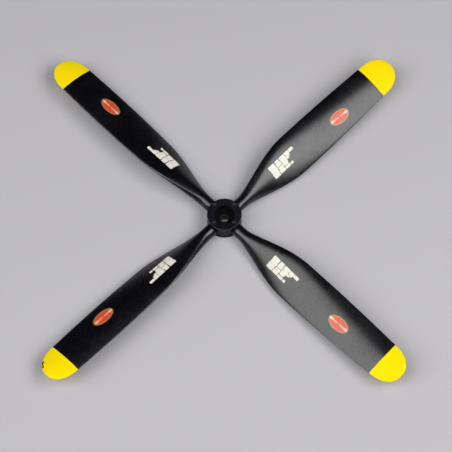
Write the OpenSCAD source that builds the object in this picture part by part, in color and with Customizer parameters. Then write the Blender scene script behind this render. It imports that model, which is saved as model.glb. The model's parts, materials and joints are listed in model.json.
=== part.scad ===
// Four-blade propeller for a model aircraft: a two-part hub that clamps four
// separate moulded blades. The blades lie in the XY plane and the front faces +Z.
// Origin: centre of the shaft bore, on the rear face of the hub. Millimetres.

/* [Propeller] */
// Diameter swept by the blade tips
prop_d = 355.6; // [330:0.1:382]
// Distance one turn would advance, which sets the twist of the blades
pitch = 203.2; // [150:0.1:260]
// Steepest blade angle that the twist reaches near the root, degrees
root_angle = 30; // [24:0.5:36]

/* [Blade] */
// Widest chord of a blade
chord_max = 31.2; // [27:0.1:34]
// Diameter of the round shank between hub and blade
shank_d = 9.5; // [9:0.1:9.6]
// Thickness of the blade where the shank has blended into it
blade_t = 3.4; // [2.8:0.1:4.2]
// Thickness of the blade just before the tip rounds off
tip_t = 1.3; // [1:0.1:1.8]
// Height of the camber line as a share of the chord
camber = 0.045; // [0.03:0.005:0.055]
// How far the blade stands forward of its shank once the two have blended
raise = 2.2; // [0:0.1:2.4]
// Forward lean of the blade, degrees
rake = 1.4; // [0:0.1:1.6]

/* [Hub] */
// Outside diameter of the hub
hub_d = 25.4; // [25.4:0.1:28]
// Thickness of the rear half, from the rear face to the shank axes
rear_h = 7.1; // [7.1:0.1:8]
// Thickness of the front half, from the shank axes to the front face
front_h = 7.2; // [7.2:0.1:8]
// Diameter of the pocket for the propeller nut
pocket_d = 15; // [14:0.1:15.1]
// Thickness of the floor that the nut clamps
floor_h = 5.1; // [4.5:0.1:5.4]

/* [Shaft] */
// Diameter of the shaft bore
bore_d = 5; // [3:0.1:5.4]

/* [Decals] */
// Length of the oval badge along the blade
badge_l = 19; // [12:0.5:22]
// Width of the oval badge across the blade
badge_w = 11; // [7:0.5:13]
// Width of the lettering-free data patch across the blade
patch_w = 10.5; // [7:0.5:13]

/* [Hidden] */

$fn = 96;
BLADES = 4;
function blade_azimuth(i) = 45 + 90 * (i - 1);    // blade i points this way
function screw_azimuth(i) = 90 * (i - 1);         // clamp screws sit between the blades

// Running gap between a blade root and its socket
gap = 0.05;
// Small distance by which a cutting tool passes the face that it cuts
past = 1;

// Hub
hub_r = hub_d / 2;
wall_r = hub_r - 0.35;          // the side wall stands a little inside both rims
hub_h = rear_h + front_h;
rim_round = 0.5;                // rounded outer edge of the front face
lip_round = 0.5;                // rounded mouth of the pocket
foot_h = 1.3;                   // height of the flange around the rear face
foot_round = 0.4;
front_rim_h = 3.9;              // height of the full-diameter rim of the front half
pocket_r = pocket_d / 2;
hex_flats = pocket_d * 0.86;    // the lower part of the pocket is a hexagon
hex_h = 3.4;                    // height of the hexagon's walls above the floor

// Bush
bush_r = 3.6;
bush_h = floor_h + 1;           // it stands 1 mm proud of the pocket floor
bush_flange_r = 4.6;
bush_flange_h = 0.8;

// Blade root, in distances from the propeller's axis
flange_in = pocket_r + 0.6;     // inner end of the root
flange_t = 0.85;                // the flange carries the pull of the turning blade
flange_r = 4.6;
neck_r = 3;
shoulder = 11.65;               // where the neck steps up to the full shank
shank_r = shank_d / 2;
shank_end = 15.5;               // where the airfoil surface takes over from the round shank

// Screws
lock_pitch_r = 10.3;            // distance of the lock screws from the propeller's axis
lock_r = 1.25;
lock_l = 4;
lock_sink_r = 1.8;              // mouth of the shallow cone above each lock screw
lock_sink_h = 0.2;
lock_drive = 1.3;               // hexagon socket, across flats
lock_dish_r = 0.8;              // the cone goes on in the end of the screw, down to this radius
lock_dish_h = 0.15;
clamp_pitch_r = 9.9;
clamp_r = 1;
clamp_l = 10;
clamp_head_r = 1.9;
clamp_head_h = 2;
clamp_sink = 0.2;               // the heads sit this far inside the rear face

// Airfoil surface: stations along the blade are shares of the tip radius
tip_r = prop_d / 2;
blend_from = 0.11;              // the chord starts to widen here
blend_span = 0.30;
tip_from = 0.905;               // the outline starts to round off here
TIP_POWER = 2.2;                // exponent of the tip's superellipse
SPAN_STEPS = 21;                // rings from the shank to the start of the tip
TIP_STEPS = 9;
SIDES = 26;                     // points around one ring
nose_bias = 0.45;               // shifts thickness from the trailing to the leading edge
set_back = 0.45;                // mid-chord lies this far behind the shank axis

function blend(x) = pow(sin(90 * min(1, max(0, (x - blend_from) / blend_span))), 1.3);
function widest(x) = chord_max * (1 - 0.09 * pow((x - 0.42) / 0.42, 2));
function tip_round(x) = pow(1 - pow(max(0, (x - tip_from) / (1 - tip_from)), TIP_POWER), 1 / TIP_POWER);
function chord(x) = (shank_d + (widest(max(x, 0.42)) - shank_d) * blend(x)) * tip_round(x);
function body_t(x) = blade_t + (tip_t - blade_t) * (x - 0.3) / (tip_from - 0.3);
function thick(x) = (shank_d + (body_t(x) - shank_d) * blend(x)) * sqrt(tip_round(x));

// Blade angle: the helix of the pitch, easing into the root angle near the hub
function helix(x) = atan(pitch / (2 * PI * x * tip_r));
function angle(x) = pow(pow(helix(x), -6) + pow(root_angle, -6), -1 / 6);

// One point of a section, a = 0 at the trailing edge, 90 on the front face, 180 at the leading edge
function across(x, a) = -chord(x) / 2 * cos(a);
function proud(x, a) =
    camber * chord(x) * blend(x) * pow(sin(a), 2)
    + thick(x) / 2 * sin(a) * (1 - nose_bias * blend(x) * cos(a));
function stand(x) = raise * blend(x) + tan(rake) * max(0, x * tip_r - shank_end);
function on_blade(x, y, n) = [
    x * tip_r,
    y * cos(angle(x)) - n * sin(angle(x)) - set_back * blend(x),
    y * sin(angle(x)) + n * cos(angle(x)) + stand(x),
];

// Stations of the rings: even along the blade, then closing up towards the tip
root_x = (shank_end - 2) / tip_r;
stations = concat(
    [for (i = [0 : SPAN_STEPS]) root_x + (tip_from - root_x) * i / SPAN_STEPS],
    [for (i = [1 : TIP_STEPS]) tip_from + (1 - tip_from) * sin(90 * i / (TIP_STEPS + 0.3))]
);
// A ring inside the turned shank is round and stays just under its surface
function ring(x) = [
    for (k = [0 : SIDES - 1])
        let (a = 360 * k / SIDES)
        x * tip_r < shank_end + 1
            ? [x * tip_r, (shank_r - gap) * -cos(a), (shank_r - gap) * sin(a)]
            : on_blade(x, across(x, a), proud(x, a))
];

// Closed skin over rings of equal length
module skin(rings) {
    n = len(rings[0]);
    last = len(rings) - 1;
    sides = [
        for (i = [0 : last - 1], k = [0 : n - 1])
            let (a = i * n + k, b = i * n + (k + 1) % n)
            each [[a, b, b + n], [a, b + n, a + n]]
    ];
    caps = [[for (k = [n - 1 : -1 : 0]) k], [for (k = [0 : n - 1]) last * n + k]];
    polyhedron([for (r = rings, p = r) p], concat(sides, caps));
}

// Thin film lying on the front of a blade: rows of [x, y] pairs, shares of the
// tip radius along the blade and millimetres from mid-chord towards the leading edge
film_t = 0.14;                  // film above the surface
film_sink = 0.06;               // bond line below it
function front_angle(x, y) = acos(max(-1, min(1, -2 * y / chord(x))));
function film_point(p, lift) = on_blade(p[0], p[1], proud(p[0], front_angle(p[0], p[1])) + lift);
module film(rows) {
    skin([
        for (row = rows)
            concat(
                [for (p = row) film_point(p, -film_sink)],
                [for (k = [len(row) - 1 : -1 : 0]) film_point(row[k], film_t)]
            )
    ]);
}

// Badge and data patch, placed along the blade. They were stuck on by hand, so
// each pair is moved a little: millimetres outwards, and towards the leading edge
badge_x = 0.673;
badge_y = -2.5;
badge_move = [[-1.6, -0.4], [3.6, 1.2], [-1.3, -0.9], [-0.9, 0.2]];
BADGE_ROWS = 12;
badge_edge = 84;                // the outline's ends stop this many degrees from its middle
patch_from = 0.285;
patch_step = 0.376;             // the patch narrows here
patch_slant = 0.002;            // over this length
patch_to = 0.428;
patch_low = 0.45;               // share of the width left out beyond the step
patch_move = [[-2.1, 0.6], [2.9, -0.4], [0.6, -0.6], [-1.3, 0]];

module on_shank_axis(i) {
    translate([0, 0, rear_h]) rotate([0, 0, blade_azimuth(i)]) children();
}

module shank_turned(steps) {
    // steps: [distance from the propeller's axis, radius from there outwards]
    rotate([0, 90, 0]) rotate_extrude()
        for (k = [0 : len(steps) - 2])
            translate([0, steps[k][0]]) square([steps[k][1], steps[k + 1][0] - steps[k][0]]);
}

module socket(i) {
    on_shank_axis(i) shank_turned([
        [flange_in - gap, flange_r + gap],
        [flange_in + flange_t + gap, neck_r + gap],
        [shoulder - gap, shank_r + gap],
        [hub_r + past, 0],
    ]);
}

module rounded_step(r, h, round) {
    // Quarter of a turned disc's profile with its upper outer corner rounded
    square([r - round, h]);
    square([r, h - round]);
    translate([r - round, h - round]) circle(round);
}

module at_screw(i, r, azimuth) {
    rotate([0, 0, azimuth]) translate([r, 0, 0]) children();
}

module hub_front() {
    color([0.09, 0.09, 0.11]) difference() {
        translate([0, 0, rear_h]) rotate_extrude() {
            square([wall_r, front_h - front_rim_h + rim_round]);
            translate([0, front_h - front_rim_h]) rounded_step(hub_r, front_rim_h, rim_round);
        }
        translate([0, 0, rear_h - past]) cylinder(r = pocket_r, h = front_h + 2 * past);
        // Rounded mouth of the pocket
        translate([0, 0, hub_h - lip_round]) rotate_extrude() difference() {
            square([pocket_r + lip_round, lip_round + past]);
            translate([pocket_r + lip_round, 0]) circle(lip_round);
        }
        for (i = [1 : BLADES]) {
            socket(i);
            at_screw(i, lock_pitch_r, blade_azimuth(i)) {
                translate([0, 0, rear_h]) cylinder(r = lock_r, h = front_h + past);
                translate([0, 0, hub_h - lock_sink_h]) cone(lock_r, lock_sink_r, lock_sink_h);
            }
            at_screw(i, clamp_pitch_r, screw_azimuth(i))
                translate([0, 0, rear_h - past])
                    cylinder(r = clamp_r, h = clamp_sink + clamp_head_h + clamp_l - rear_h + past);
        }
    }
}

module hub_rear() {
    color([0.08, 0.08, 0.1]) difference() {
        rotate_extrude() {
            square([wall_r, rear_h]);
            translate([0, foot_h]) mirror([0, 1]) rounded_step(hub_r, foot_h, foot_round);
        }
        translate([0, 0, floor_h]) cylinder(d = hex_flats / cos(30), h = rear_h, $fn = 6);
        translate([0, 0, floor_h + hex_h]) cylinder(r = pocket_r, h = rear_h);
        translate([0, 0, -past]) cylinder(r = bush_r, h = hub_h);
        translate([0, 0, -past]) cylinder(r = bush_flange_r, h = bush_flange_h + past);
        for (i = [1 : BLADES]) {
            socket(i);
            at_screw(i, clamp_pitch_r, screw_azimuth(i)) {
                translate([0, 0, -past]) cylinder(r = clamp_r, h = hub_h);
                translate([0, 0, -past]) cylinder(r = clamp_head_r, h = clamp_sink + clamp_head_h + past);
            }
        }
    }
}

module shaft_bush() {
    color([0.72, 0.6, 0.32]) difference() {
        union() {
            cylinder(r = bush_r, h = bush_h);
            cylinder(r = bush_flange_r, h = bush_flange_h);
        }
        translate([0, 0, -past]) cylinder(d = bore_d, h = bush_h + 2 * past);
    }
}

module cone(r_low, r_high, h) {
    // Cuts a cone from z = 0 up to h, and on past it at the same slope
    more = 1 + past / h;
    cylinder(r1 = r_low, r2 = r_low + (r_high - r_low) * more, h = h * more);
}

module hex_socket(flats, depth) {
    // Cuts downwards from z = 0
    translate([0, 0, -depth]) cylinder(d = flats / cos(30), h = depth + past, $fn = 6);
}

module lock_screw(i) {
    // Grub screw whose end bears on the neck of the blade root
    color([0.2, 0.2, 0.22])
        at_screw(i, lock_pitch_r, blade_azimuth(i))
            translate([0, 0, rear_h + neck_r + gap]) difference() {
                cylinder(r = lock_r, h = lock_l);
                translate([0, 0, lock_l]) hex_socket(lock_drive, 1.4);
                translate([0, 0, lock_l - lock_dish_h])
                    cone(lock_dish_r, lock_r - 0.1, lock_dish_h);
            }
}

module clamp_screw(i) {
    // Cap screw from the rear face into the front half
    color([0.2, 0.2, 0.22])
        at_screw(i, clamp_pitch_r, screw_azimuth(i))
            translate([0, 0, clamp_sink]) difference() {
                union() {
                    cylinder(r = clamp_head_r, h = clamp_head_h);
                    cylinder(r = clamp_r, h = clamp_head_h + clamp_l);
                }
                mirror([0, 0, 1]) hex_socket(1.5, 1.1);
            }
}

module blade(i) {
    color([0.12, 0.12, 0.13]) on_shank_axis(i) {
        shank_turned([
            [flange_in, flange_r],
            [flange_in + flange_t, neck_r],
            [shoulder, shank_r],
            [shank_end, 0],
        ]);
        skin([for (x = stations) ring(x)]);
    }
}

module badge(i) {
    color([0.8, 0.2, 0.1]) on_shank_axis(i)
        film([
            for (k = [0 : BADGE_ROWS])
                let (a = badge_edge * (2 * k / BADGE_ROWS - 1))
                [for (s = [-1 : 0.5 : 1]) [
                    badge_x + (badge_move[i - 1][0] + badge_l / 2 * sin(a)) / tip_r,
                    badge_y + badge_move[i - 1][1] + s * badge_w / 2 * cos(a),
                ]]
        ]);
}

module data_patch(i) {
    color([0.9, 0.88, 0.78]) on_shank_axis(i)
        film(concat(
            patch_rows(patch_move[i - 1], patch_from, patch_step, -patch_w / 2),
            patch_rows(patch_move[i - 1], patch_step + patch_slant, patch_to, patch_w * (patch_low - 0.5))
        ));
}

function patch_rows(move, from, to, low) = [
    for (k = [0 : 3])
        [for (s = [0 : 0.25 : 1]) [
            from + (to - from) * k / 3 + move[0] / tip_r,
            move[1] + low + s * (patch_w / 2 - low),
        ]]
];

hub_front();
hub_rear();
shaft_bush();
for (i = [1 : BLADES]) {
    lock_screw(i);
    clamp_screw(i);
    blade(i);
    badge(i);
    data_patch(i);
}
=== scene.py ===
import json
import math

import bpy
import mathutils
import numpy as np
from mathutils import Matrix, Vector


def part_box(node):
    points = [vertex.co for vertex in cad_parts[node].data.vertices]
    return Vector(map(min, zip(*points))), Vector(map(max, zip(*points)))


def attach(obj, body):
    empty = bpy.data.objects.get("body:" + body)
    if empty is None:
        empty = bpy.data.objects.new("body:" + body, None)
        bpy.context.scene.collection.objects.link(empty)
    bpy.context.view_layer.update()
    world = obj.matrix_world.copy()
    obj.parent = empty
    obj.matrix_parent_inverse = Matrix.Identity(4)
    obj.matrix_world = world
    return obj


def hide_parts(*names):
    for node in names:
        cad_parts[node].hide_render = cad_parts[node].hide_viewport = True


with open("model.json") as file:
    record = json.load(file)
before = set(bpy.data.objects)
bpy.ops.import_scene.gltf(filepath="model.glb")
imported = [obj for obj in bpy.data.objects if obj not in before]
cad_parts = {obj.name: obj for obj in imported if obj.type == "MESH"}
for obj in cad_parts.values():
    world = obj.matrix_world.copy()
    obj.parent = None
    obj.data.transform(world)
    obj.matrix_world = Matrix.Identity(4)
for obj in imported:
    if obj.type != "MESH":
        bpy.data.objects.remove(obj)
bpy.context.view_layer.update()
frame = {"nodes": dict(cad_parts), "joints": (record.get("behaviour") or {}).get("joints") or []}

# ---------------------------------------------------------------- sizes, in metres and degrees
MM = 0.001
BLADES = (1, 2, 3, 4)
AXIS_Z = frame["joints"][0]["pos_m"][2]        # height of the shank axes

# Blade, the same law as the CAD blade: stations are shares of the tip radius
TIP_R = 177.8 * MM
PITCH = 203.2 * MM
ROOT_ANGLE = 30.0                              # degrees
PITCH_POWER = 6                                # how sharply the helix gives way to the root angle
CHORD_MAX = 31.2 * MM
CHORD_TAPER, WIDEST_X = 0.09, 0.42             # the chord shrinks outboard of its widest station
SHANK_D = 9.5 * MM
BLADE_T = 3.4 * MM                             # at THICK_X
TIP_T = 1.3 * MM                               # at TIP_FROM
THICK_X = 0.3
CAMBER = 0.045
NOSE_BIAS = 0.45
RAISE = 2.2 * MM
RAKE = 1.4                                     # degrees
SET_BACK = 0.45 * MM
SHANK_END = 15.5 * MM
BLEND_FROM, BLEND_SPAN, BLEND_POWER = 0.11, 0.30, 1.3
TIP_FROM, TIP_POWER = 0.905, 2.2
RING_POINTS = 112
EDGE_CROWDING = 24.0                           # degrees
SPAN_RINGS = 120
TIP_RINGS = 26
# Turned root: distance from the propeller's axis and radius, corner by corner
ROOT_PROFILE = [(8.15, 4.45), (8.25, 4.6), (8.9, 4.6), (8.95, 4.5), (8.95, 3.0), (11.65, 3.0),
                (11.65, 4.6), (11.8, 4.75), (15.5, 4.75)]

# Decals, stuck on by hand. Moves by blade: mm outwards, mm towards the leading edge, degrees of turn
BADGE_X = 0.673
BADGE_Y = -2.5 * MM
BADGE_L, BADGE_W = 19 * MM, 11 * MM
BADGE_MOVES = {1: (-1.6, -0.4, -4), 2: (3.6, 1.2, -1), 3: (-1.3, -0.9, -1), 4: (-0.9, 0.2, 0)}
PATCH_X = 0.285                                # its inner end
PATCH_W = 10.4 * MM
PATCH_MOVES = {1: (-2.1, 0.6, 0), 2: (2.9, -0.4, -1), 3: (0.6, -0.6, -1), 4: (-1.3, 0, -4)}
PAINT_FROM = {1: 0.8785, 2: 0.8935, 3: 0.896, 4: 0.896}   # the yellow starts at these stations

FILM_SINK = -0.02 * MM                         # the underside of a film lies this far in the blade
BLOCK_SLIT = 0.06                              # gap between the patch's rows, in mm

# Places of the materials in a decal's list
CARRIER, CARRIER_GLINT, GOLD, RED, ROSE, CREAM = range(6)
IVORY = 1

# Finish
NYLON_IOR = 1.58
NYLON_DARK, NYLON_LIGHT = (0.001, 0.001, 0.0022), (0.0025, 0.0024, 0.0042)
RUBBED_EDGE = (0.03, 0.03, 0.032)
# Painted highlight: the paler colour put on the hub's front rim
RIM_HIGHLIGHT = (0.09, 0.088, 0.1)
YELLOW, YELLOW_DEEP = (0.92, 0.7, 0.003), (0.88, 0.66, 0.002)
CLEAR_GLOSS, YELLOW_GLOSS = (1.0, 1.0, 1.0), (0.5, 0.4, 0.02)
TOOL_MARKS = 2200                              # scale of the rings on turned metal
INK_WORN = (0.66, 0.76)                        # range of the speckle where ink is rubbed off

# Chips in the paint by blade: station, share across (-1 trailing, 1 leading edge), radius in mm
CHIPS = {
    1: [(0.9985, 0.5, 0.5)],
    2: [(0.994, -0.97, 0.4)],
    3: [(0.974, -0.96, 1.4), (0.986, -0.93, 1.2)],
    4: [(0.975, 0.99, 0.4)],
}

# Stage and light, in metres
FLOOR_HALF = 8.0
FLOOR_COLOUR = (0.455, 0.446, 0.47, 1)
GLOW_FROM, GLOW_TO = 0.6, 2.4                  # the floor starts to glow, and glows fully
PALE = (0.37, 0.36, 0.38)                      # backdrop
ROOM = (0.019, 0.0185, 0.022)
HORIZON_FROM, HORIZON_TO = 0.04, 0.12          # rise of the view where pale turns into room
# place, width, depth, radiance
LEFT_BOX = ((-0.85, -0.36, 1.25), 1.6, 1.0, 3.7)
RIGHT_BOX = ((0.83, -0.4, 1.18), 0.85, 1.6, 4.9)

# Camera
CAMERA_TILT = 24.5                             # degrees away from straight down
CAMERA_DISTANCE = 1.49
CAMERA_LENS = 161.4
CAMERA_AIM = (1.2 * MM, -6.4 * MM, AXIS_Z)


# ---------------------------------------------------------------- blade surface
def blend(x):
    """How far the round shank has turned into blade at station x, from 0 to 1."""
    return np.sin(np.radians(90 * np.clip((x - BLEND_FROM) / BLEND_SPAN, 0, 1))) ** BLEND_POWER


def tip_round(x):
    """Share of the chord that is left at station x where the tip rounds off."""
    return (1 - np.clip((x - TIP_FROM) / (1 - TIP_FROM), 0, 1) ** TIP_POWER) ** (1 / TIP_POWER)


def chord(x):
    widest = CHORD_MAX * (1 - CHORD_TAPER * ((np.maximum(x, WIDEST_X) - WIDEST_X) / WIDEST_X) ** 2)
    return (SHANK_D + (widest - SHANK_D) * blend(x)) * tip_round(x)


def thickness(x):
    body = BLADE_T + (TIP_T - BLADE_T) * (x - THICK_X) / (TIP_FROM - THICK_X)
    return (SHANK_D + (body - SHANK_D) * blend(x)) * np.sqrt(tip_round(x))


def angle(x):
    """Blade angle in radians: one helix outboard, never steeper than the root angle."""
    helix = np.degrees(np.arctan(PITCH / (2 * math.pi * x * TIP_R)))
    return np.radians((helix**-PITCH_POWER + ROOT_ANGLE**-PITCH_POWER) ** (-1 / PITCH_POWER))


def section(x, a):
    """Across and proud, in metres, at angle a: 0 trailing edge, 90 front face, 180 leading edge."""
    a = np.radians(a)
    across = -chord(x) / 2 * np.cos(a)
    proud = CAMBER * chord(x) * blend(x) * np.sin(a) ** 2
    proud += thickness(x) / 2 * np.sin(a) * (1 - NOSE_BIAS * blend(x) * np.cos(a))
    return across, proud


def placed(blade, x, across, proud):
    """Row-frame points of a blade from its own station, across and proud."""
    turn = math.radians(45 + 90 * (blade - 1))
    tilt = angle(x)
    r = x * TIP_R
    stand = RAISE * blend(x) + math.tan(math.radians(RAKE)) * np.maximum(0, r - SHANK_END)
    y = across * np.cos(tilt) - proud * np.sin(tilt) - SET_BACK * blend(x)
    z = across * np.sin(tilt) + proud * np.cos(tilt) + stand + AXIS_Z
    row_x = r * math.cos(turn) - y * math.sin(turn)
    row_y = r * math.sin(turn) + y * math.cos(turn)
    return np.stack([row_x, row_y, z], -1)


def on_front(blade, x, across, lift):
    """Points on the front face at that distance across, lifted off it."""
    a = np.degrees(np.arccos(np.clip(-2 * across / chord(x), -1, 1)))
    return placed(blade, x, across, section(x, a)[1] + lift)


# ---------------------------------------------------------------- mesh helpers
def mesh_object(name, points, faces, sharp=40):
    """A smooth-shaded mesh whose edges are creased where they turn by more than sharp degrees."""
    mesh = bpy.data.meshes.new(name)
    mesh.from_pydata([tuple(p) for p in points], [], faces)
    mesh.update()
    mesh.polygons.foreach_set("use_smooth", [True] * len(faces))
    mesh.set_sharp_from_angle(angle=math.radians(sharp))
    ob = bpy.data.objects.new(name, mesh)
    bpy.context.scene.collection.objects.link(ob)
    return ob


def tube_faces(rings, points, first=0):
    """Quads and two caps over rings of equal length."""
    faces = []
    for i in range(rings - 1):
        for k in range(points):
            a = first + i * points + k
            b = first + i * points + (k + 1) % points
            faces.append((a, b, b + points, a + points))
    faces.append(tuple(first + k for k in reversed(range(points))))
    faces.append(tuple(first + (rings - 1) * points + k for k in range(points)))
    return faces


def add_attribute(ob, name, values):
    layer = ob.data.attributes.new(name, "FLOAT", "POINT")
    layer.data.foreach_set("value", np.asarray(values, np.float32))


# ---------------------------------------------------------------- material helpers
def material(name):
    """A node material with its tree and its shader."""
    mat = bpy.data.materials.new(name)
    mat.use_nodes = True
    return mat, mat.node_tree, mat.node_tree.nodes["Principled BSDF"]


def add(tree, kind, **values):
    """A node of that kind. Values are input sockets by name, or properties of the node."""
    node = tree.nodes.new("ShaderNode" + kind)
    for key, value in values.items():
        if hasattr(node, key):
            setattr(node, key, value)
        else:
            node.inputs[key.replace("_", " ")].default_value = value
    return node


def noise(tree, scale, detail):
    """Fac of a noise in the piece's own space. Scale is per metre."""
    node = add(tree, "TexNoise", Scale=scale, Detail=detail)
    tree.links.new(add(tree, "TexCoord").outputs["Object"], node.inputs["Vector"])
    return node.outputs["Fac"]


def ramp(tree, value, low, high, to_low=0.0, to_high=1.0):
    """Smooth step from to_low, where the value is low, to to_high, where it is high."""
    node = add(tree, "MapRange", interpolation_type="SMOOTHSTEP")
    for key, number in (("From Min", low), ("From Max", high), ("To Min", to_low), ("To Max", to_high)):
        node.inputs[key].default_value = number
    tree.links.new(value, node.inputs["Value"])
    return node.outputs["Result"]


def maths(tree, operation, a, b):
    node = add(tree, "Math", operation=operation)
    for socket, value in zip(node.inputs, (a, b)):
        if isinstance(value, (int, float)):
            socket.default_value = value
        else:
            tree.links.new(value, socket)
    return node.outputs["Value"]


def mix_colour(tree, factor, a, b):
    node = add(tree, "Mix", data_type="RGBA")
    tree.links.new(factor, node.inputs["Factor"])
    for socket, value in ((node.inputs["A"], a), (node.inputs["B"], b)):
        if isinstance(value, tuple):
            socket.default_value = (*value, 1)
        else:
            tree.links.new(value, socket)
    return node.outputs["Result"]


def bump(tree, shader, height, strength, distance):
    node = add(tree, "Bump", Strength=strength, Distance=distance)
    tree.links.new(height, node.inputs["Height"])
    tree.links.new(node.outputs["Normal"], shader.inputs["Normal"])


# ---------------------------------------------------------------- materials
def black_plastic(name, colour, roughness, grain, gloss=0.5):
    """Satin black plastic: fine grain and faint cloudy patches."""
    mat, tree, shader = material(name)
    shader.inputs["IOR"].default_value = NYLON_IOR
    shader.inputs["Specular IOR Level"].default_value = gloss
    cloud = noise(tree, 55, 4)
    fine = noise(tree, grain, 2)
    lighter = tuple(c * 2.2 + 0.002 for c in colour)
    clouded = mix_colour(tree, ramp(tree, cloud, 0.4, 0.75), colour, lighter)
    tree.links.new(clouded, shader.inputs["Base Color"])
    patchy = ramp(tree, cloud, 0.3, 0.7, roughness - 0.03, roughness + 0.05)
    speckle = ramp(tree, fine, 0.35, 0.65, -0.02, 0.02)
    tree.links.new(maths(tree, "ADD", patchy, speckle), shader.inputs["Roughness"])
    bump(tree, shader, fine, 0.12, 0.00006)
    return mat


def hub_plastic():
    """Matt version of the black nylon, with a painted highlight: paler colour on the outer turn of the
    front rim.
    """
    mat = black_plastic("hub_plastic", (0.0054, 0.0051, 0.0078), 0.3, 2600, gloss=0.07)
    tree = mat.node_tree
    shader = tree.nodes["Principled BSDF"]
    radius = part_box("hub_front")[1][0]
    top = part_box("hub_front")[1][2]
    # Distance from the propeller's axis, and height
    split = add(tree, "SeparateXYZ")
    tree.links.new(add(tree, "TexCoord").outputs["Object"], split.inputs["Vector"])
    flat = add(tree, "CombineXYZ")
    tree.links.new(split.outputs["X"], flat.inputs["X"])
    tree.links.new(split.outputs["Y"], flat.inputs["Y"])
    out = add(tree, "VectorMath", operation="LENGTH")
    tree.links.new(flat.outputs["Vector"], out.inputs[0])
    # Painted highlight: a band on the outer turn of the rim, just below the top, is painted paler in place
    # of the rim's light arc
    rim = ramp(tree, out.outputs["Value"], radius - 0.4 * MM, radius - 0.25 * MM)
    low = ramp(tree, split.outputs["Z"], top - 1.0 * MM, top - 0.8 * MM)
    high = ramp(tree, split.outputs["Z"], top - 0.3 * MM, top - 0.1 * MM, 1.0, 0.0)
    wear_and_highlight = maths(tree, "MULTIPLY", rim, maths(tree, "MULTIPLY", low, high))
    patchy = maths(tree, "MULTIPLY", wear_and_highlight, ramp(tree, noise(tree, 500, 3), 0.25, 0.6, 0.35, 1.0))
    plastic = shader.inputs["Base Color"].links[0].from_socket
    tree.links.new(mix_colour(tree, patchy, plastic, RIM_HIGHLIGHT), shader.inputs["Base Color"])
    return mat


def blade_plastic():
    """Satin black nylon, with a yellow painted tip that is chipped and has thin spots along its edges.

    The blades carry three attributes: beyond_mask, metres past the paint's masked edge; edge, 1 at the
    leading and trailing edges; and chip, above about 0.5 where the paint is gone.
    """
    mat, tree, shader = material("blade_plastic")
    shader.inputs["IOR"].default_value = NYLON_IOR
    beyond = add(tree, "Attribute", attribute_name="beyond_mask").outputs["Fac"]
    edge = add(tree, "Attribute", attribute_name="edge").outputs["Fac"]
    chip = add(tree, "Attribute", attribute_name="chip").outputs["Fac"]

    cloud = noise(tree, 45, 4)
    fine = noise(tree, 2600, 2)
    mottle = noise(tree, 420, 4)
    wobble = noise(tree, 260, 3)
    ragged = noise(tree, 900, 4)

    # Paint: beyond the masked edge, apart from chips
    shifted = maths(tree, "ADD", beyond, ramp(tree, wobble, 0.3, 0.7, -0.0004, 0.0004))
    painted = ramp(tree, shifted, -0.0005, 0.0005)
    bare = maths(tree, "ADD", chip, ramp(tree, ragged, 0.3, 0.7, -0.35, 0.35))
    thin = maths(tree, "MULTIPLY", ramp(tree, edge, 0.965, 1.0), ramp(tree, ragged, 0.56, 0.68))
    bare = maths(tree, "MAXIMUM", ramp(tree, bare, 0.45, 0.6), thin)
    painted = maths(tree, "MULTIPLY", painted, maths(tree, "SUBTRACT", 1.0, bare))

    plastic = mix_colour(tree, ramp(tree, cloud, 0.4, 0.75), NYLON_DARK, NYLON_LIGHT)
    # The edges are rubbed a little greyer
    wear_and_highlight = maths(tree, "MULTIPLY", ramp(tree, edge, 0.985, 1.0), ramp(tree, wobble, 0.45, 0.7, 0.0, 0.6))
    plastic = mix_colour(tree, wear_and_highlight, plastic, RUBBED_EDGE)
    yellow = mix_colour(tree, ramp(tree, cloud, 0.3, 0.7), YELLOW, YELLOW_DEEP)
    tree.links.new(mix_colour(tree, painted, plastic, yellow), shader.inputs["Base Color"])

    # The paint's gloss is yellow too, as a camera sees so strong a colour
    gloss = mix_colour(tree, painted, CLEAR_GLOSS, YELLOW_GLOSS)
    tree.links.new(gloss, shader.inputs["Specular Tint"])

    satin = ramp(tree, cloud, 0.3, 0.7, 0.24, 0.29)
    satin = maths(tree, "ADD", satin, ramp(tree, fine, 0.35, 0.65, -0.02, 0.02))
    satin = maths(tree, "ADD", satin, ramp(tree, mottle, 0.35, 0.65, -0.02, 0.02))
    satin = maths(tree, "MULTIPLY", satin, maths(tree, "SUBTRACT", 1.0, painted))
    paint_rough = maths(tree, "MULTIPLY", ramp(tree, wobble, 0.3, 0.7, 0.34, 0.42), painted)
    tree.links.new(maths(tree, "ADD", satin, paint_rough), shader.inputs["Roughness"])
    # Grain of the plastic, and the step at the edge of the paint
    height = maths(tree, "ADD", maths(tree, "MULTIPLY", fine, 0.35), maths(tree, "MULTIPLY", mottle, 0.16))
    bump(tree, shader, maths(tree, "ADD", height, painted), 0.25, 0.00008)
    return mat


def turned_metal(name, colour, roughness, metallic=1.0):
    """Machined metal with slight stains and fine marks in rings around the propeller's axis."""
    mat, tree, shader = material(name)
    shader.inputs["Metallic"].default_value = metallic
    wave = add(tree, "TexWave", wave_type="RINGS", rings_direction="Z", Scale=TOOL_MARKS, Distortion=1.5)
    tree.links.new(add(tree, "TexCoord").outputs["Object"], wave.inputs["Vector"])
    stain = noise(tree, 420, 3)
    darker = tuple(c * 0.55 for c in colour)
    stained = mix_colour(tree, ramp(tree, stain, 0.35, 0.7), colour, darker)
    tree.links.new(stained, shader.inputs["Base Color"])
    rough = ramp(tree, stain, 0.3, 0.7, roughness - 0.05, roughness + 0.1)
    tree.links.new(rough, shader.inputs["Roughness"])
    bump(tree, shader, wave.outputs["Fac"], 0.2, 0.00003)
    return mat


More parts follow.
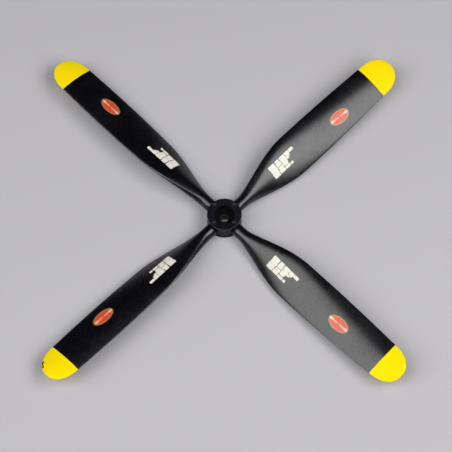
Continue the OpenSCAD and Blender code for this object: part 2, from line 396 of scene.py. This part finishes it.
def printed_film(name, colour, worn, roughness=0.3, gloss=0.5):
    """Ink on film: slight mottling, with rubbed specks that show the worn colour."""
    mat, tree, shader = material(name)
    shader.inputs["IOR"].default_value = NYLON_IOR
    shader.inputs["Specular IOR Level"].default_value = gloss
    mottle = noise(tree, 700, 3)
    specks = noise(tree, 1600, 4)
    deeper = tuple(c * 0.82 for c in colour)
    ink = mix_colour(tree, ramp(tree, mottle, 0.3, 0.7), colour, deeper)
    tree.links.new(mix_colour(tree, ramp(tree, specks, *INK_WORN), ink, worn), shader.inputs["Base Color"])
    rough = ramp(tree, mottle, 0.3, 0.7, roughness - 0.05, roughness + 0.05)
    tree.links.new(rough, shader.inputs["Roughness"])
    bump(tree, shader, mottle, 0.08, 0.00005)
    return mat


# ---------------------------------------------------------------- blades
def chips(blade, points):
    """How bare each point is, from 0 to 1, near the small chips in the paint."""
    bare = np.zeros(len(points))
    for x, share, radius in CHIPS[blade]:
        x = np.array([x])
        across = share * chord(x) / 2
        centre = on_front(blade, x, across, 0.0)[0]
        distance = np.linalg.norm(points - centre, axis=1)
        bare = np.maximum(bare, np.clip(1.4 - distance / (radius * MM), 0, 1))
    return bare


def blade_piece(blade, mat):
    """One blade: the turned root that the hub holds, and the blade from there to its closed tip."""
    even = np.arange(RING_POINTS) * 360.0 / RING_POINTS
    # Points crowd towards the two edges, where the section turns fast
    angles = even - EDGE_CROWDING * np.sin(np.radians(2 * even))
    root_x = ROOT_PROFILE[-1][0] * MM / TIP_R
    span = np.linspace(root_x, TIP_FROM, SPAN_RINGS)[1:]
    turn = np.radians(90 * np.arange(1, TIP_RINGS + 1) / (TIP_RINGS + 0.3))
    span = np.concatenate([span, TIP_FROM + (1 - TIP_FROM) * np.sin(turn)])
    points, along, edge = [], [], []
    for r, radius in ROOT_PROFILE:
        x = np.full(RING_POINTS, r * MM / TIP_R)
        a = np.radians(angles)
        across, proud = -radius * MM * np.cos(a), radius * MM * np.sin(a)
        points.append(placed(blade, x, across, proud))
        along.append(x)
        edge.append(np.zeros(RING_POINTS))
    for station in span:
        x = np.full(RING_POINTS, station)
        points.append(placed(blade, x, *section(x, angles)))
        along.append(x)
        edge.append(np.abs(np.cos(np.radians(angles))))
    points = np.concatenate(points)
    rings = len(ROOT_PROFILE) + len(span)
    # These rings run clockwise seen from the tip, so the faces are turned round to point outwards
    faces = [face[::-1] for face in tube_faces(rings, RING_POINTS)]
    ob = mesh_object(f"blade_{blade}_shell", points, faces, sharp=60)
    add_attribute(ob, "beyond_mask", np.concatenate(along) - PAINT_FROM[blade])
    add_attribute(ob, "edge", np.concatenate(edge))
    add_attribute(ob, "chip", chips(blade, points))
    ob.data.materials.append(mat)
    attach(ob, f"blade_{blade}")
    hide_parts(f"blade_{blade}")


# ---------------------------------------------------------------- decals
def slab(place, at, size, power, top, rows, columns):
    """Points of a thin film on the front of a blade: an oval at power 2, a rounded block from power 8.

    place: (blade, distance out, distance across, turn) of the decal that it belongs to.
    at, size: (along, across) in the decal's own axes. top: height above the blade.
    There are rows rings, each with columns points below and as many above.
    """
    blade, out, across, turn = place
    s = np.sin(np.radians(np.linspace(-88, 88, rows)))[:, None]
    u = at[0] + s * size[0] / 2
    half = size[1] / 2 * (1 - np.abs(s) ** power) ** (1 / power)
    v = at[1] + half * np.linspace(-1, 1, columns)[None, :]
    u = np.broadcast_to(u, v.shape)
    x = (out + u * math.cos(turn) - v * math.sin(turn)) / TIP_R
    y = across + u * math.sin(turn) + v * math.cos(turn)
    upper = on_front(blade, x.ravel(), y.ravel(), top).reshape(rows, columns, 3)
    lower = on_front(blade, x.ravel(), y.ravel(), FILM_SINK).reshape(rows, columns, 3)
    return np.concatenate([lower, upper[:, ::-1]], 1).reshape(-1, 3)


def film_piece(name, place, parts, mats, node):
    """One piece of several slabs. parts: (material index, slab arguments)."""
    points, faces, slots = [], [], []
    for index, arguments in parts:
        new_faces = tube_faces(arguments["rows"], 2 * arguments["columns"], len(points))
        faces += new_faces
        slots += [index] * len(new_faces)
        points += list(slab(place, **arguments))
    ob = mesh_object(name, points, faces)
    for mat in mats:
        ob.data.materials.append(mat)
    ob.data.polygons.foreach_set("material_index", slots)
    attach(ob, f"blade_{place[0]}")
    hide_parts(node)


def decal_place(blade, out, across, moves):
    """Where a decal's own axes start on that blade, after its move."""
    move = moves[blade]
    return blade, out + move[0] * MM, across + move[1] * MM, math.radians(move[2])


def badge_piece(blade, mats):
    """Oval badge: clear carrier with a painted highlight along its border, thin gold outline, red field and
    a broken pale band.
    """
    def oval(index, length, width, lift, power=2.0, at=(0, 0)):
        return index, {"at": (at[0] * MM, at[1] * MM), "size": (length * MM, width * MM),
                       "power": power, "top": lift * MM, "rows": 36, "columns": 14}

    place = decal_place(blade, BADGE_X * TIP_R, BADGE_Y, BADGE_MOVES)
    parts = [
        oval(CARRIER, BADGE_L / MM, BADGE_W / MM, 0.03),
        # Painted highlight: a paler oval just beyond the gold outline, set a little outwards, in place of
        # light caught by the carrier film's edge
        oval(CARRIER_GLINT, 18.3, 10.1, 0.04, at=(0.25, -0.25)),
        oval(GOLD, 17.0, 9.4, 0.055),
        oval(RED, 15.6, 8.0, 0.065),
    ]
    for side in (-1, 1):
        parts.append(oval(ROSE, 6.6, 1.5, 0.08, 2.5, (side * 3.7, 0)))
        parts.append(oval(CREAM, 3.6, 1.9, 0.095, 1.8, (side * 6.6, 0)))
    film_piece(f"badge_{blade}_film", place, parts, mats, f"badge_{blade}")


def patch_piece(blade, mats):
    """Data patch: plain blocks in rows on a clear carrier, complete near the root, ragged further out."""
    rows = [
        # Blocks of each row from the leading edge, in mm: start, end and width; no start leaves a gap
        [(0.0, 6.0, 3.3), (0.15, 6.3, 2.4), (0.0, 5.9, 2.6), (0.1, 5.7, 1.9)],
        [(6.8, 10.6, 1.8), (6.6, 11.1, 3.1), (None, None, 0.2), (6.5, 11.2, 2.2), (6.1, 11.0, 2.7)],
        [(11.2, 16.7, 2.6), (11.5, 17.0, 1.7), (11.4, 16.2, 2.1), (11.6, 15.6, 1.1), (None, None, 0.3),
         (11.4, 16.2, 2.2)],
        [(16.9, 21.0, 2.7), (17.2, 20.4, 1.2), (16.4, 19.0, 1.1), (None, None, 3.1), (16.7, 19.2, 1.9)],
        [(21.2, 25.5, 2.4)],
    ]
    parts = [(CARRIER, {"at": (12.8 * MM, 0), "size": (26.4 * MM, PATCH_W + 0.3 * MM),
                        "power": 14, "top": 0.03 * MM, "rows": 30, "columns": 16})]
    for row in rows:
        y = PATCH_W / 2 / MM
        for start, end, width in row:
            if start is not None:
                parts.append((IVORY, {"at": ((start + end) / 2 * MM, (y - width / 2) * MM),
                                      "size": ((end - start) * MM, width * MM), "power": 10,
                                      "top": 0.06 * MM, "rows": 10, "columns": 6}))
            y -= width + BLOCK_SLIT
    place = decal_place(blade, PATCH_X * TIP_R, 0, PATCH_MOVES)
    film_piece(f"data_patch_{blade}_film", place, parts, mats, f"data_patch_{blade}")


# ---------------------------------------------------------------- stage, light and camera
def floor():
    """Plain pale floor at height 0."""
    mat, tree, shader = material("floor")
    shader.inputs["Roughness"].default_value = 0.9
    shader.inputs["Base Color"].default_value = FLOOR_COLOUR
    # Far from the object, beyond the reach of the soft boxes, the floor glows so that it stays pale
    distance = add(tree, "VectorMath", operation="LENGTH")
    tree.links.new(add(tree, "TexCoord").outputs["Object"], distance.inputs[0])
    shader.inputs["Emission Color"].default_value = (*PALE, 1)
    glow = ramp(tree, distance.outputs["Value"], GLOW_FROM, GLOW_TO)
    tree.links.new(glow, shader.inputs["Emission Strength"])
    corners = [(x * FLOOR_HALF, y * FLOOR_HALF, 0) for x, y in ((-1, -1), (1, -1), (1, 1), (-1, 1))]
    ob = mesh_object("floor", corners, [(0, 1, 2, 3)])
    ob.data.materials.append(mat)


def soft_box(name, place, width, depth, radiance):
    """A rectangular soft box that faces the propeller from that place."""
    light = bpy.data.lights.new(name, "AREA")
    light.shape = "RECTANGLE"
    light.size, light.size_y = width, depth
    light.energy = radiance * math.pi * width * depth
    ob = bpy.data.objects.new(name, light)
    bpy.context.scene.collection.objects.link(ob)
    ob.location = place
    away = mathutils.Vector(place).normalized()
    side = mathutils.Vector((0, 1, 0)).cross(away).normalized()
    ob.rotation_euler = mathutils.Matrix((side, away.cross(side), away)).transposed().to_euler()


def lights():
    """A soft box on each side, both a little towards the camera, in a dim room."""
    soft_box("soft_box_left", *LEFT_BOX)
    soft_box("soft_box_right", *RIGHT_BOX)
    # The room is pale just above the floor's horizon and dim further up
    world = bpy.data.worlds.new("room")
    world.use_nodes = True
    tree = world.node_tree
    split = add(tree, "SeparateXYZ")
    tree.links.new(add(tree, "TexCoord").outputs["Generated"], split.inputs["Vector"])
    height = ramp(tree, split.outputs["Z"], HORIZON_FROM, HORIZON_TO)
    sky = mix_colour(tree, height, PALE, ROOM)
    tree.links.new(sky, tree.nodes["Background"].inputs["Color"])
    bpy.context.scene.world = world


def camera():
    """Camera on the propeller's front, tilted from straight down towards -Y."""
    data = bpy.data.cameras.new("camera")
    data.lens = CAMERA_LENS
    data.clip_start = 0.01
    ob = bpy.data.objects.new("camera", data)
    tilt = math.radians(CAMERA_TILT)
    x, y, z = CAMERA_AIM
    ob.location = (x, y - math.sin(tilt) * CAMERA_DISTANCE, z + math.cos(tilt) * CAMERA_DISTANCE)
    ob.rotation_euler = (tilt, 0, 0)
    bpy.context.scene.collection.objects.link(ob)
    bpy.context.scene.camera = ob


def paint_node(node, mat):
    """Gives a CAD piece its finished material."""
    slots = frame["nodes"][node].data.materials
    slots.clear()
    slots.append(mat)


camera()
floor()
lights()
bpy.context.scene.view_settings.view_transform = "Standard"

blade_mat = blade_plastic()
hub_mat = hub_plastic()
brass = turned_metal("brass", (0.09, 0.078, 0.05), 0.4)
steel = turned_metal("black_steel", (0.05, 0.05, 0.055), 0.38, metallic=0.8)
carrier = black_plastic("clear_carrier", (0.0045, 0.0045, 0.0055), 0.26, 1500)
# Painted highlight for the badge carrier's border
carrier_glint = printed_film("badge_carrier_glint", (0.09, 0.085, 0.07), (0.03, 0.03, 0.03))
gold = printed_film("badge_gold", (0.52, 0.22, 0.055), (0.3, 0.08, 0.02))
red = printed_film("badge_red", (0.66, 0.084, 0.024), (0.6, 0.18, 0.05), gloss=0.4)
rose = printed_film("badge_rose", (0.92, 0.28, 0.23), (0.75, 0.08, 0.04))
cream = printed_film("badge_cream", (0.86, 0.56, 0.36), (0.85, 0.3, 0.18))
ivory = printed_film("patch_ivory", (0.88, 0.84, 0.74), (0.35, 0.33, 0.22), 0.55, 0.3)

for node in frame["nodes"]:
    if node.startswith("hub"):
        paint_node(node, hub_mat)
    elif node == "shaft_bush":
        paint_node(node, brass)
    elif "screw" in node:
        paint_node(node, steel)

for blade in BLADES:
    blade_piece(blade, blade_mat)
    badge_piece(blade, [carrier, carrier_glint, gold, red, rose, cream])
    patch_piece(blade, [carrier, ivory])
